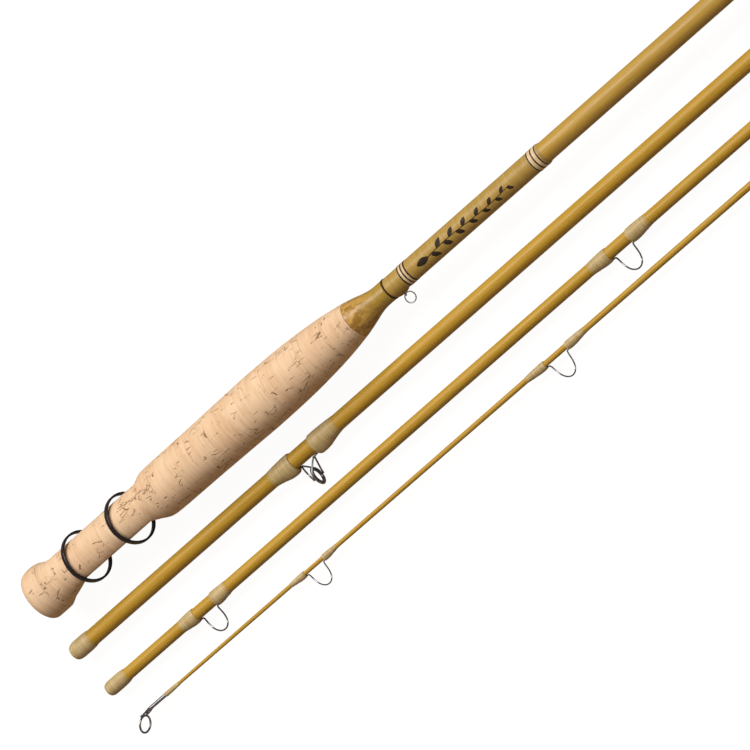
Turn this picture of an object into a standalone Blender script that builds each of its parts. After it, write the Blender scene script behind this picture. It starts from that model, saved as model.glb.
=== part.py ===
"""Four-piece fly rod, taken apart, its four sections laid side by side.

Frame: metres, +X from the butt end towards the tip-ward ends, +Y away from the line guides, +Z up.
The origin is the centre of the butt's end face, on the butt section's axis.
"""
import math

import bmesh
import bpy
from mathutils import Vector

MM = 0.001

# ---- driving dimensions -------------------------------------------------------------------------
SECTION_LENGTH = 533.5 * MM        # four sections make a seven-foot rod
CORK_RING = 12.7 * MM              # stock half-inch cork rings
CORK_COUNT = 17
CORK_END = 214.0 * MM              # front face of the last plain cork ring
CORK_SEGMENTS = 28
BAND_CLEARANCE = 1.52 * MM         # reel band's bore over the seat's radius
BAND_LEAN = math.radians(-23.0)    # how far the loose bands tip over on the seat
SEAT_RADIUS = 10.3 * MM
SEAT_FLAT = 7.4 * MM               # reel foot's flat, measured from the rod's axis
GRIP_RADIUS = 13.65 * MM           # thickest place, which is what the butt section lies on
GLUE_GAP = 0.05 * MM               # between a piece and what it is glued or wound on
RING_GAP = 0.1 * MM                # between neighbouring cork rings
BUTT_RADIUS = 5.0 * MM
BUTT_BORE = 4.0 * MM
WRAP_SEGMENTS = 20
TIP_SEGMENTS = 14
WIRE_SIDES = 2                     # bevel resolution, eight sides round
FLOOR = -GRIP_RADIUS

SECOND_Y = -29.6 * MM              # section axes, measured across from the butt's axis
THIRD_Y = -52.8 * MM
TIP_Y = -71.4 * MM

TIP_BORE = 1.3 * MM                # of the tip's socket
SPIGOT_INSIDE = 38.0 * MM
SPIGOT_OUTSIDE = 36.0 * MM

# handle outline: (distance from the butt end, radius), knob, seat, shoulder, grip
HANDLE = [(0.0, 9.2), (0.8, 10.8), (2.2, 12.1), (4.6, 12.85), (7.1, 13.05), (9.6, 12.7), (12.2, 11.65),
          (15.0, 10.45), (17.0, 10.3), (74.6, 10.3), (76.4, 10.6), (78.2, 11.4), (80.5, 12.3), (83.0, 12.65),
          (88.0, 12.8), (99.7, 12.9), (112.4, 13.0), (125.1, 13.2), (137.8, 13.4), (150.5, 13.65),
          (163.2, 13.55), (175.9, 13.15), (188.6, 12.35), (194.9, 11.8), (201.3, 11.1), (207.6, 10.2),
          (214.0, 9.2)]

# ---- finishes -----------------------------------------------------------------------------------
FINISHES = {
    "cork": ((0.75, 0.52, 0.31), 0.75, 0.0),
    "lacquered_cork": ((0.50, 0.29, 0.06), 0.18, 0.0),
    "gold_blank": ((0.55, 0.35, 0.07), 0.16, 0.0),
    "gold_thread": ((0.52, 0.33, 0.07), 0.2, 0.0),
    "cream_thread": ((0.72, 0.60, 0.38), 0.25, 0.0),
    "dark_thread": ((0.04, 0.025, 0.02), 0.3, 0.0),
    "black_metal": ((0.015, 0.013, 0.016), 0.22, 0.6),
    "guide_wire": ((0.32, 0.32, 0.33), 0.2, 1.0),
    "guide_insert": ((0.05, 0.05, 0.055), 0.12, 0.0),
    "spigot_glass": ((0.42, 0.27, 0.07), 0.35, 0.0),
}


def make_material(name):
    """A plain painted stand-in finish for one slot."""
    colour, roughness, metallic = FINISHES[name]
    material = bpy.data.materials.new(name)
    material.use_nodes = True
    shader = material.node_tree.nodes["Principled BSDF"]
    shader.inputs["Base Color"].default_value = (*colour, 1.0)
    shader.inputs["Roughness"].default_value = roughness
    shader.inputs["Metallic"].default_value = metallic
    material.diffuse_color = (*colour, 1.0)
    return material


def add_object(name, data, finish, parent=None, location=(0, 0, 0)):
    """Link one named piece, in its finish, under its section's empty."""
    obj = bpy.data.objects.new(name, data)
    data.materials.append(MATERIALS[finish])
    bpy.context.scene.collection.objects.link(obj)
    obj.parent = parent
    obj.location = location
    return obj


def add_empty(name, location):
    """A reference point that a section's pieces hang from."""
    empty = bpy.data.objects.new(name, None)
    bpy.context.scene.collection.objects.link(empty)
    empty.location = location
    return empty


def loft_mesh(name, rings, segments, closed):
    """Skin circles about the X direction. A ring is (x, radius, drop), the drop moving it to -Y.

    A closed loft joins its last ring to its first, for sleeves and tubes; an open one is capped.
    """
    mesh = bpy.data.meshes.new(name)
    bm = bmesh.new()
    loops = []
    for x, radius, drop in rings:
        angles = [2.0 * math.pi * i / segments for i in range(segments)]
        loops.append([bm.verts.new((x, radius * math.cos(a) - drop, radius * math.sin(a))) for a in angles])
    pairs = list(zip(loops, loops[1:] + loops[:1])) if closed else list(zip(loops, loops[1:]))
    for first, second in pairs:
        for i in range(segments):
            j = (i + 1) % segments
            bm.faces.new((first[i], first[j], second[j], second[i]))
    if not closed:
        bm.faces.new(loops[0])
        bm.faces.new(loops[-1])
    bmesh.ops.recalc_face_normals(bm, faces=bm.faces)
    bm.to_mesh(mesh)
    bm.free()
    mesh.shade_smooth()
    mesh.set_sharp_from_angle(angle=math.radians(35))
    return mesh


def sleeve(name, outer, inner, finish, parent, segments=WRAP_SEGMENTS, location=(0, 0, 0)):
    """A hollow turned piece: outer and inner outlines are (x, radius) or (x, radius, drop)."""
    rings = [(*p, 0.0)[:3] for p in outer] + [(*p, 0.0)[:3] for p in reversed(inner)]
    return add_object(name, loft_mesh(name, rings, segments, True), finish, parent, location)


def rod(name, outline, finish, parent, segments=WRAP_SEGMENTS):
    """A solid turned piece with flat ends."""
    rings = [(*p, 0.0)[:3] for p in outline]
    return add_object(name, loft_mesh(name, rings, segments, False), finish, parent)


def hoop(name, major, minor, normal, finish, parent, location, steps=24, sides=8):
    """A round wire ring whose axis is the given direction."""
    mesh = bpy.data.meshes.new(name)
    bm = bmesh.new()
    section = [bm.verts.new((major + minor * math.cos(2 * math.pi * i / sides), 0.0,
                             minor * math.sin(2 * math.pi * i / sides))) for i in range(sides)]
    edges = [bm.edges.new((section[i], section[(i + 1) % sides])) for i in range(sides)]
    bmesh.ops.spin(bm, geom=section + edges, cent=(0, 0, 0), axis=(0, 0, 1),
                   angle=2 * math.pi, steps=steps, use_merge=True)
    bmesh.ops.recalc_face_normals(bm, faces=bm.faces)
    turn = Vector((0, 0, 1)).rotation_difference(Vector(normal)).to_matrix().to_4x4()
    bmesh.ops.transform(bm, matrix=turn, verts=bm.verts)
    bm.to_mesh(mesh)
    bm.free()
    mesh.shade_smooth()
    return add_object(name, mesh, finish, parent, location)


def wire(name, points, radii, finish, parent, growth=0.0):
    """A bent wire through the points, its thickness following the radii; growth makes it a cutter."""
    curve = bpy.data.curves.new(name, "CURVE")
    curve.dimensions = "3D"
    curve.bevel_depth = MM
    curve.bevel_resolution = WIRE_SIDES
    curve.use_fill_caps = True
    spline = curve.splines.new("POLY")
    spline.points.add(len(points) - 1)
    for target, point, radius in zip(spline.points, points, radii):
        target.co = (*point, 1.0)
        target.radius = (radius + growth) / MM
    drawn = bpy.data.objects.new(name + "_curve", curve)
    mesh = bpy.data.meshes.new_from_object(drawn)
    bpy.data.objects.remove(drawn)
    bm = bmesh.new()
    bm.from_mesh(mesh)
    bmesh.ops.remove_doubles(bm, verts=bm.verts, dist=1e-7)
    bmesh.ops.recalc_face_normals(bm, faces=bm.faces)
    bm.to_mesh(mesh)
    bm.free()
    mesh.materials.clear()
    mesh.shade_smooth()
    mesh.set_sharp_from_angle(angle=math.radians(50))
    return add_object(name, mesh, finish, parent)


def cut(piece, cutter):
    """Take the cutter's shape out of a piece."""
    boolean = piece.modifiers.new("cut_" + cutter.name, "BOOLEAN")
    boolean.operation = "DIFFERENCE"
    boolean.solver = "EXACT"
    boolean.object = cutter
    cutter.hide_render = True
    cutter.display_type = "WIRE"


def outline_radius(outline, x):
    """Radius at x on an outline of straight stretches."""
    for (x0, r0), (x1, r1) in zip(outline, outline[1:]):
        if x <= x1:
            return r0 + (r1 - r0) * (x - x0) / (x1 - x0)
    return outline[-1][1]


# ---- butt section: handle -----------------------------------------------------------------------
def make_cork_handle(parent):
    """Seventeen glued cork rings turned to one outline, with a flat milled for the reel's foot."""
    outline = [(x * MM, r * MM) for x, r in HANDLE]
    flat = bpy.data.meshes.new("reel_flat_cutter")
    bm = bmesh.new()
    deep = 22.0 * MM
    flat_start = 13.8 * MM
    flat_end = 78.6 * MM
    side = [(flat_start, -10.6 * MM), (22.3 * MM, -SEAT_FLAT), (72.9 * MM, -SEAT_FLAT),
            (flat_end, -11.7 * MM)]
    corners = side + [(flat_end, -deep), (flat_start, -deep)]
    face = bm.faces.new([bm.verts.new((x, y, -deep)) for x, y in corners])
    lifted = bmesh.ops.extrude_face_region(bm, geom=[face])["geom"]
    top = [element for element in lifted if isinstance(element, bmesh.types.BMVert)]
    bmesh.ops.translate(bm, vec=(0, 0, 2 * deep), verts=top)
    bmesh.ops.recalc_face_normals(bm, faces=bm.faces)
    bm.to_mesh(flat)
    bm.free()
    cutter = add_object("reel_flat_cutter", flat, "cork", parent)
    cutter.hide_render = True
    cutter.display_type = "WIRE"

    bore = BUTT_RADIUS + GLUE_GAP
    shortest = 0.2 * MM
    for index in range(CORK_COUNT):
        start = max(0.0, CORK_END - (CORK_COUNT - index) * CORK_RING)
        end = CORK_END - (CORK_COUNT - index - 1) * CORK_RING
        start += RING_GAP / 2 if index else 0.0
        end -= RING_GAP / 2
        marks = [start] + [x for x, _ in outline if start + shortest < x < end - shortest] + [end]
        outer = [(x, outline_radius(outline, x)) for x in marks]
        name = "cork_ring_%02d" % (index + 1)
        if index == 0:
            piece = rod(name, outer, "cork", parent, CORK_SEGMENTS)
        else:
            piece = sleeve(name, outer, [(start, bore), (end, bore)], "cork", parent, CORK_SEGMENTS)
        if flat_start < end and start < flat_end:
            cut(piece, cutter)


def make_nose(parent):
    """The lacquered cone in front of the cork: a cork core under a thread wrap, and its dark thread."""
    skin = 0.45 * MM
    start = CORK_END + RING_GAP / 2
    core_end = 226.0 * MM
    wrap_end = 236.6 * MM
    cone = [(start, 9.2 * MM), (218.5 * MM, 8.1 * MM), (222.0 * MM, 7.25 * MM), (core_end, 6.15 * MM)]
    bore = BUTT_RADIUS + GLUE_GAP
    core = [(x, r - skin) for x, r in cone]
    sleeve("nose_cork", core, [(start, bore), (core_end, bore)], "cork", parent, CORK_SEGMENTS)
    outer = cone + [(228.5 * MM, 5.6 * MM), (231.0 * MM, 5.42 * MM), (wrap_end, 5.5 * MM)]
    inner = [(x, r + GLUE_GAP) for x, r in core] + [(core_end + 0.1 * MM, bore), (wrap_end, bore)]
    sleeve("nose_wrap", outer, inner, "lacquered_cork", parent, CORK_SEGMENTS)
    thread_start = wrap_end + 0.1 * MM
    thread_end = wrap_end + 0.9 * MM
    crown = 5.62 * MM
    sleeve("nose_thread", [(thread_start, crown), (thread_end, crown)],
           [(thread_start, bore), (thread_end, bore)], "dark_thread", parent)


def make_butt_wraps(parent):
    """Thread wraps on the butt blank between the handle and the bare blank."""
    bore = BUTT_RADIUS + GLUE_GAP
    stretches = [("keeper_wrap", "gold_thread", [(237.6, 5.3), (242.0, 5.22), (247.2, 5.28)]),
                 ("trim_band_lower", "cream_thread", [(247.3, 5.4), (251.5, 5.4)]),
                 ("long_wrap", "gold_thread", [(251.6, 5.3), (290.0, 5.35), (331.8, 5.42)]),
                 ("trim_band_upper", "cream_thread", [(331.9, 5.5), (338.2, 5.5), (339.9, 5.2)])]
    pieces = {}
    for name, finish, outline in stretches:
        outer = [(x * MM, r * MM) for x, r in outline]
        inner = [(outer[0][0], bore), (outer[-1][0], bore)]
        pieces[name] = sleeve(name, outer, inner, finish, parent)
    return pieces


def make_hook_keeper(parent, wrap):
    """A small eye bound on the guide side, and the loose ring that hangs in it."""
    middle = 241.2 * MM
    drop = 6.25 * MM
    half = 0.4 * MM
    outside = 1.15 * MM
    hole = 0.75 * MM
    sides = 16
    sleeve("keeper_eye", [(middle - half, outside, drop), (middle + half, outside, drop)],
           [(middle - half, hole, drop), (middle + half, hole, drop)], "guide_wire", parent, sides)
    room = 0.1 * MM
    reach = outside + room
    slot = rod("keeper_slot_cutter", [(middle - half - room, reach, drop), (middle + half + room, reach, drop)],
               "guide_wire", parent, sides)
    cut(wrap, slot)
    ring_radius = 2.67 * MM
    swing = math.radians(20.0)
    pivot = add_empty("hook_keeper_axis", (middle, -6.43 * MM, 0.0))
    hoop("hook_keeper_ring", ring_radius, 0.28 * MM, (0, 0, 1), "guide_wire", pivot,
         (ring_radius * math.sin(swing), -ring_radius * math.cos(swing), 0.0))


def make_reel_bands():
    """Two flat black bands, loose on the seat, which lean a little and slide over the reel's feet."""
    bore = SEAT_RADIUS + BAND_CLEARANCE
    wall = 1.05 * MM
    half = 1.2 * MM
    chamfer = 0.3 * MM
    outer = [(-half, bore + wall - chamfer), (-half + chamfer, bore + wall), (half - chamfer, bore + wall),
             (half, bore + wall - chamfer)]
    inner = [(-half, bore), (half, bore)]
    for name, x in (("rear_reel_band", 32.6 * MM), ("front_reel_band", 62.2 * MM)):
        seat_point = add_empty(name + "_axis", (x, 0.0, 0.0))
        band = sleeve(name, outer, inner, "black_metal", seat_point, 36)
        band.rotation_euler = (0.0, BAND_LEAN, 0.0)


# ---- blanks, ferrules and plain wraps -----------------------------------------------------------
def make_ferrule_wrap(name, start, blank_radius, wrap_radius, length, parent, segments):
    """A varnished thread collar that keeps a socket from splitting, rounded at both ends."""
    bore = blank_radius + GLUE_GAP
    edge = 0.8 * MM
    outer = [(start, wrap_radius - 0.35 * MM), (start + edge, wrap_radius - 0.04 * MM),
             (start + 0.5 * length, wrap_radius), (start + length - 3 * edge, wrap_radius - 0.12 * MM),
             (start + length, bore + 0.12 * MM)]
    return sleeve(name, outer, [(start, bore), (start + length, bore)], "cream_thread", parent, segments)


def make_spigot(name, end, bore, socket_bore, parent):
    """A solid glass spigot, glued in a section's tip-ward end and standing out of it."""
    inside = bore - GLUE_GAP
    nose = socket_bore - 0.15 * MM
    outline = [(end - SPIGOT_INSIDE, inside - 0.1 * MM), (end - 0.2 * MM, inside), (end + 0.2 * MM, nose),
               (end + SPIGOT_OUTSIDE - 0.6 * MM, nose - 0.1 * MM), (end + SPIGOT_OUTSIDE, nose - 0.5 * MM)]
    return rod(name, outline, "spigot_glass", parent, 14)


# ---- line guides --------------------------------------------------------------------------------
def snake_path(rear, front, foot, seat, half_height, half_width, wire_radius):
    """One turn of a flattened spiral between two straight feet that lie along the blank.

    It stands 2 half_height out from the feet, and is widest two thirds of the way out, where it swings
    half_width to each side. The line runs through it along X.
    """
    steps = 24
    widest = 1.3
    points = []
    radii = []
    tongue = 0.5 * wire_radius
    for share in (0.0, 0.5):
        radius = tongue + (wire_radius - tongue) * share / 0.75
        points.append((rear - foot * (1.0 - share), -(seat + radius), 0.0))
        radii.append(radius)
    for i in range(steps + 1):
        turn = 2.0 * math.pi * i / steps
        x = rear + (front - rear) * i / steps
        y = -(seat + wire_radius) - half_height * (1.0 - math.cos(turn))
        points.append((x, y, widest * half_width * math.sin(turn) * math.sin(0.5 * turn)))
        radii.append(wire_radius)
    for share in (0.5, 0.0):
        radius = tongue + (wire_radius - tongue) * share / 0.75
        points.append((front + foot * (1.0 - share), -(seat + radius), 0.0))
        radii.append(radius)
    return points, radii


def foot_wrap(name, outer_end, inner_end, blank, thickness, parent, segments, cutter):
    """A football-shaped wrap over one guide foot: thin at its outer end, humped at its inner end."""
    thick_up, thick_down = thickness
    mid = 0.5 * (thick_up + thick_down)
    hump = 0.5 * (thick_down - thick_up)
    edge = 0.12 * MM
    span = inner_end - outer_end
    outer = [(outer_end, blank + GLUE_GAP + edge)]
    for share, fullness in ((0.15, 0.4), (0.5, 0.78), (0.82, 1.0), (0.95, 0.92), (1.0, 0.7)):
        rise = max(fullness * mid, GLUE_GAP + edge)
        outer.append((outer_end + share * span, blank + rise, fullness * hump))
    bore = blank + GLUE_GAP
    wrap = sleeve(name, outer, [(outer_end, bore), (inner_end, bore)], "cream_thread", parent, segments)
    cut(wrap, cutter)
    return wrap


def make_snake_guide(name, rear, front, blank, size, wraps, thickness, parent, segments):
    """A snake guide and the two wraps over its feet."""
    half_height, half_width, wire_radius = size
    foot = 0.8 * (rear - wraps[0])
    seat = blank + GLUE_GAP
    points, radii = snake_path(rear, front, foot, seat, half_height, half_width, wire_radius)
    wire(name, points, radii, "guide_wire", parent)
    cutter = wire(name + "_cutter", points, radii, "guide_wire", parent, growth=GLUE_GAP)
    foot_wrap(name + "_rear_wrap", wraps[0], wraps[1], blank, thickness, parent, segments, cutter)
    foot_wrap(name + "_front_wrap", wraps[3], wraps[2], blank, thickness, parent, segments, cutter)


def brace_path(foot_end, bend, ring_x, low, foot_half, ring_drop, ring_half):
    """One folded wire of the stripping guide: from a ring side down to the foot, and up the other side."""
    rise = ring_x - bend
    side = [(ring_x, -ring_drop - 0.9 * MM, ring_half),
            (bend + 0.97 * rise, -ring_drop + 0.8 * MM, ring_half),
            (bend + 0.85 * rise, -ring_drop + 2.8 * MM, 0.95 * ring_half),
            (bend + 0.55 * rise, -ring_drop + 5.3 * MM, 0.6 * ring_half),
            (bend + 0.25 * rise, low - 0.5 * MM, 2.0 * foot_half),
            (bend, low, foot_half),
            (0.5 * (bend + foot_end), low, foot_half),
            (foot_end, low, foot_half)]
    fold = foot_end - math.copysign(foot_half, bend - foot_end)
    return side + [(fold, low, 0.0)] + [(x, y, -z) for x, y, z in reversed(side)]


def make_stripping_guide(parent, blank):
    """The big first guide: two folded wire braces that hold a ring with a hard smooth insert."""
    wire_radius = 0.42 * MM
    centre = 153.55 * MM
    ring_drop = 12.3 * MM
    frame_radius = 4.35 * MM
    frame_wire = 0.45 * MM
    hoop("stripping_frame_ring", frame_radius, frame_wire, (1, 0, 0), "guide_wire", parent,
         (centre, -ring_drop, 0.0))
    half = 0.9 * MM
    lip = 0.3 * MM
    outside = frame_radius - frame_wire - GLUE_GAP
    inside = outside - 0.8 * MM
    sleeve("stripping_ring_insert",
           [(-half, outside - lip), (-lip, outside), (lip, outside), (half, outside - lip)],
           [(-half, inside + lip), (0.0, inside), (half, inside + lip)], "guide_insert", parent, 24,
           (centre, -ring_drop, 0.0))
    ring_half = frame_radius + frame_wire + wire_radius + GLUE_GAP
    low = -(blank + GLUE_GAP + wire_radius)
    foot_half = 0.55 * MM
    for end, foot_end, bend, wrap, side in (("rear", 137.45, 149.95, (134.95, 149.05), -1.0),
                                            ("front", 175.25, 159.35, (178.65, 162.05), 1.0)):
        name = "stripping_%s_brace" % end
        ring_x = centre + 1.1 * wire_radius * side
        points = brace_path(foot_end * MM, bend * MM, ring_x, low, foot_half, ring_drop, ring_half)
        radii = [wire_radius] * len(points)
        wire(name, points, radii, "guide_wire", parent)
        cutter = wire(name + "_cutter", points, radii, "guide_wire", parent, growth=GLUE_GAP)
        foot_wrap("stripping_%s_wrap" % end, wrap[0] * MM, wrap[1] * MM, blank, (0.62 * MM, 1.75 * MM),
                  parent, WRAP_SEGMENTS, cutter)


# ---- the four sections --------------------------------------------------------------------------
def make_butt_section():
    """Handle, blank, wraps, hook keeper, reel bands and the first spigot."""
    base = add_empty("butt_section", (0, 0, 0))
    make_cork_handle(base)
    make_nose(base)
    wraps = make_butt_wraps(base)
    make_hook_keeper(base, wraps["keeper_wrap"])
    make_reel_bands()
    start = CORK_END - (CORK_COUNT - 1) * CORK_RING + RING_GAP
    outline = [(start, BUTT_RADIUS), (455.0 * MM, BUTT_RADIUS), (SECTION_LENGTH, 4.75 * MM)]
    bores = [(start, BUTT_BORE), (455.0 * MM, BUTT_BORE), (SECTION_LENGTH, 3.75 * MM)]
    sleeve("butt_blank", outline, bores, "gold_blank", base)
    make_spigot("butt_spigot", SECTION_LENGTH, 3.7 * MM, 3.0 * MM, base)


def make_second_section():
    """The piece above the butt, with the stripping guide."""
    radius = 4.0 * MM
    bore = 3.0 * MM
    base = add_empty("second_section", (-9.25 * MM, SECOND_Y, FLOOR + 5.7 * MM))
    socket = 40.0 * MM
    start = socket + GLUE_GAP
    for name, near, far in (("second_socket", 0.0, socket), ("second_blank", start, SECTION_LENGTH)):
        sleeve(name, [(near, radius), (far, radius)], [(near, bore), (far, bore)], "gold_blank", base)
    make_ferrule_wrap("second_ferrule_wrap", 0.0, radius, 4.5 * MM, 12.6 * MM, base, WRAP_SEGMENTS)
    make_stripping_guide(base, radius)
    make_spigot("second_spigot", SECTION_LENGTH, bore, 2.2 * MM, base)


def make_third_section():
    """The piece below the tip, with two snake guides."""
    radius = 3.0 * MM
    bore = 2.2 * MM
    base = add_empty("third_section", (-9.1 * MM, THIRD_Y, FLOOR + 4.7 * MM))
    sleeve("third_blank", [(0.0, radius), (SECTION_LENGTH, radius)], [(0.0, bore), (SECTION_LENGTH, bore)],
           "gold_blank", base)
    make_ferrule_wrap("third_ferrule_wrap", 0.0, radius, 3.65 * MM, 13.2 * MM, base, WRAP_SEGMENTS)
    size = (5.2 * MM, 4.2 * MM, 0.38 * MM)
    for name, rear, front, wraps in (("third_guide_a", 61.0, 71.1, (49.9, 59.7, 71.5, 81.7)),
                                     ("third_guide_b", 335.8, 347.8, (323.3, 334.7, 348.3, 361.2))):
        make_snake_guide(name, rear * MM, front * MM, radius, size, [w * MM for w in wraps],
                         (0.42 * MM, 1.0 * MM), base, WRAP_SEGMENTS)
    make_spigot("third_spigot", SECTION_LENGTH, bore, TIP_BORE, base)


def make_tip_top(parent, blank):
    """The tube glued over the tip's thin end, the wire loop beside its beak, and the wrap behind it."""
    tube_end = 14.4 * MM
    tube = 0.93 * MM
    tube_bore = 0.74 * MM
    plug = 1.6 * MM
    vent = 0.2 * MM
    beak = -4.6 * MM
    sleeve("tip_top_tube",
           [(beak, 0.34 * MM), (-2.2 * MM, 0.42 * MM), (0.0, 0.68 * MM), (2.4 * MM, tube), (tube_end, tube)],
           [(beak, vent), (plug, vent), (plug, tube_bore), (tube_end, tube_bore)],
           "guide_wire", parent, TIP_SEGMENTS)
    start = 12.6 * MM
    end = 21.7 * MM
    step = tube_end + 0.1 * MM
    over_tube = tube + GLUE_GAP
    sleeve("tip_top_wrap", [(start, over_tube + 0.1 * MM), (step, over_tube + 0.14 * MM),
                            (end - 2.0 * MM, 1.0 * MM), (end, outline_radius(blank, end) + 0.12 * MM)],
           [(start, over_tube), (step, over_tube), (step, outline_radius(blank, step) + GLUE_GAP),
            (end, outline_radius(blank, end) + GLUE_GAP)], "cream_thread", parent, TIP_SEGMENTS)
    loop = 3.95 * MM
    loop_wire = 0.5 * MM
    out = Vector((-0.643, -0.722, 0.253))
    across = Vector((-0.058, 0.375, 0.925))
    root = Vector((-2.2 * MM, -1.08 * MM, 0.0))
    hoop("tip_top_loop", loop, loop_wire, out.cross(across), "guide_wire", parent, root + out * loop)


def make_tip_section():
    """The tip, laid the other way round, with its tip-top beside the butts of its neighbours."""
    base = add_empty("tip_section", (-1.5 * MM, TIP_Y, FLOOR + 4.1 * MM))
    taper = [(1.7, 0.66), (14.4, 0.68), (14.45, 0.78), (60.0, 0.93), (190.0, 1.2), (310.0, 1.5),
             (420.0, 1.72), (533.5, 1.9)]
    blank = [(x * MM, r * MM) for x, r in taper]
    hollow = [(1.7, 0.3), (60.0, 0.4), (190.0, 0.6), (310.0, 0.85), (420.0, 1.1), (490.0, TIP_BORE / MM),
              (533.5, TIP_BORE / MM)]
    sleeve("tip_blank", blank, [(x * MM, r * MM) for x, r in hollow], "gold_blank", base, TIP_SEGMENTS)
    start = 519.5 * MM
    over_start = outline_radius(blank, start) + GLUE_GAP
    over_end = outline_radius(blank, SECTION_LENGTH) + GLUE_GAP
    sleeve("tip_ferrule_wrap",
           [(start, over_start + 0.12 * MM), (start + 2.4 * MM, 2.25 * MM),
            (SECTION_LENGTH - 0.8 * MM, 2.35 * MM), (SECTION_LENGTH, 2.15 * MM)],
           [(start, over_start), (SECTION_LENGTH, over_end)], "cream_thread", base, TIP_SEGMENTS)
    make_tip_top(base, blank)
    for name, rear, front, wraps, size, thickness in (
            ("tip_guide_a", 107.9, 118.8, (98.1, 107.3, 119.3, 128.8), (4.6, 3.45, 0.32), (0.34, 0.85)),
            ("tip_guide_b", 268.0, 280.5, (255.4, 267.4, 281.2, 293.7), (5.0, 3.6, 0.34), (0.4, 0.95))):
        under = outline_radius(blank, wraps[3] * MM)
        make_snake_guide(name, rear * MM, front * MM, under, [s * MM for s in size], [w * MM for w in wraps],
                         [t * MM for t in thickness], base, TIP_SEGMENTS)


for old in list(bpy.data.objects):
    bpy.data.objects.remove(old, do_unlink=True)
MATERIALS = {name: make_material(name) for name in FINISHES}
make_butt_section()
make_second_section()
make_third_section()
make_tip_section()
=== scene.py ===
"""Looks of the four-piece fly rod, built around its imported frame.

Metres, +X from the butt end, +Y away from the line guides, +Z up. A section's own measures run from the
end of its blank, so each piece is worked out along X and set on its section's axis.
"""
import math

import bpy
import numpy as np
from mathutils import Matrix, Vector


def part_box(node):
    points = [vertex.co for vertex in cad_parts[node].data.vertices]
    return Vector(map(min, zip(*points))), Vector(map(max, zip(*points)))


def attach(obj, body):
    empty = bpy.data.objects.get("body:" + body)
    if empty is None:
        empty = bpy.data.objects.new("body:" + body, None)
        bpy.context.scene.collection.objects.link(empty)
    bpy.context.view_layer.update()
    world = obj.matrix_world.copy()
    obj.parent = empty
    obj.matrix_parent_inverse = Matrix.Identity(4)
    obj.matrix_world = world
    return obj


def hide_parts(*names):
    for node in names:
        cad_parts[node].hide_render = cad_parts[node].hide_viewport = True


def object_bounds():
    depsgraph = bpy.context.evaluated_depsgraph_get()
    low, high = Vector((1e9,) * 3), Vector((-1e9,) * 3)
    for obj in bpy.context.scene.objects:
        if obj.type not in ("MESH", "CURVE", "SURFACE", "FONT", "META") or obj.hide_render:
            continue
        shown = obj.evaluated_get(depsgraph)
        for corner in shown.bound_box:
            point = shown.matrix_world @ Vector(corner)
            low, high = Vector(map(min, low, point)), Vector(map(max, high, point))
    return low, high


MM = 0.001
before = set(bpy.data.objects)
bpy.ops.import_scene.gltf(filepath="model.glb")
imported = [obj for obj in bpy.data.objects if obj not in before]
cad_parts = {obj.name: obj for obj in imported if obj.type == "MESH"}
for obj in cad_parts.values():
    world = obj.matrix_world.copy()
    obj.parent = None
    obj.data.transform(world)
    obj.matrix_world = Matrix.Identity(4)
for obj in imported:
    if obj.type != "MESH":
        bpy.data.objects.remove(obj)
CAD_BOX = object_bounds()

# ---- driving dimensions -------------------------------------------------------------------------
CORK_RING = 12.7 * MM
CORK_COUNT = 17
SEAM = 0.1 * MM                    # between neighbouring cork rings
CLOSE_UP = 0.04 * MM               # how far each ring reaches into the seam on either side
SEAT_FLAT = 7.4 * MM               # from the axis to the flat that the reel's foot lies on
SHOULDER = 78.6 * MM               # where the flat runs out against the grip
FLAT_EDGE = 0.22 * MM              # how softly the flat meets the round of the seat
BORE_FIT = 0.05 * MM               # air between the butt blank and the cork around it
UNDER_THREAD = 0.02 * MM           # how far a winding's inside reaches below the blank's surface
THREAD_PITCH = 0.28 * MM
TIP_BLANK_START = 1.7 * MM         # the tip's blank starts this far inside its tip-top
BAND_LEAN = math.radians(-23.0)
ROUND_COLUMNS = 128
SLIM_COLUMNS = 72
WIRE_COLUMNS = 20

# distance from the butt end and radius: knob, seat, shoulder and grip, then the cone down to the blank
HANDLE = np.array([(0.0, 10.4), (0.4, 11.3), (1.3, 12.2), (2.7, 12.8), (4.6, 13.05), (7.1, 13.1),
                   (9.6, 12.75), (12.2, 11.65), (15.0, 10.55), (17.5, 10.3), (45.0, 10.3), (73.8, 10.3),
                   (76.0, 10.5), (78.2, 11.4), (80.5, 12.25), (83.0, 12.62), (88.0, 12.8), (99.7, 12.9),
                   (112.4, 13.0), (125.1, 13.2), (137.8, 13.4), (150.5, 13.62), (163.2, 13.5),
                   (175.9, 13.15), (188.6, 12.35), (194.9, 11.8), (201.3, 11.1), (207.6, 10.2),
                   (214.0, 9.15)]) * MM
NOSE = np.array([(214.05, 9.14), (216.0, 8.68), (218.5, 8.12), (221.0, 7.5), (223.5, 6.8), (226.0, 6.15),
                 (228.5, 5.68), (231.0, 5.45), (233.5, 5.42), (236.6, 5.5)]) * MM


# ---- surfaces -----------------------------------------------------------------------------------
def link_object(name, data):
    """A new object in the scene, at the origin."""
    obj = bpy.data.objects.new(name, data)
    bpy.context.scene.collection.objects.link(obj)
    return obj


def round_angles(count):
    """So many even steps round a circle, without the last, which is the first again."""
    return np.linspace(0.0, 2.0 * np.pi, count, endpoint=False)


def round_x(x, reach, angle):
    """Points (x, reach cos a, reach sin a); the three arrays are spread over each other."""
    return np.stack(np.broadcast_arrays(x, reach * np.cos(angle), reach * np.sin(angle)), axis=-1)


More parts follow.
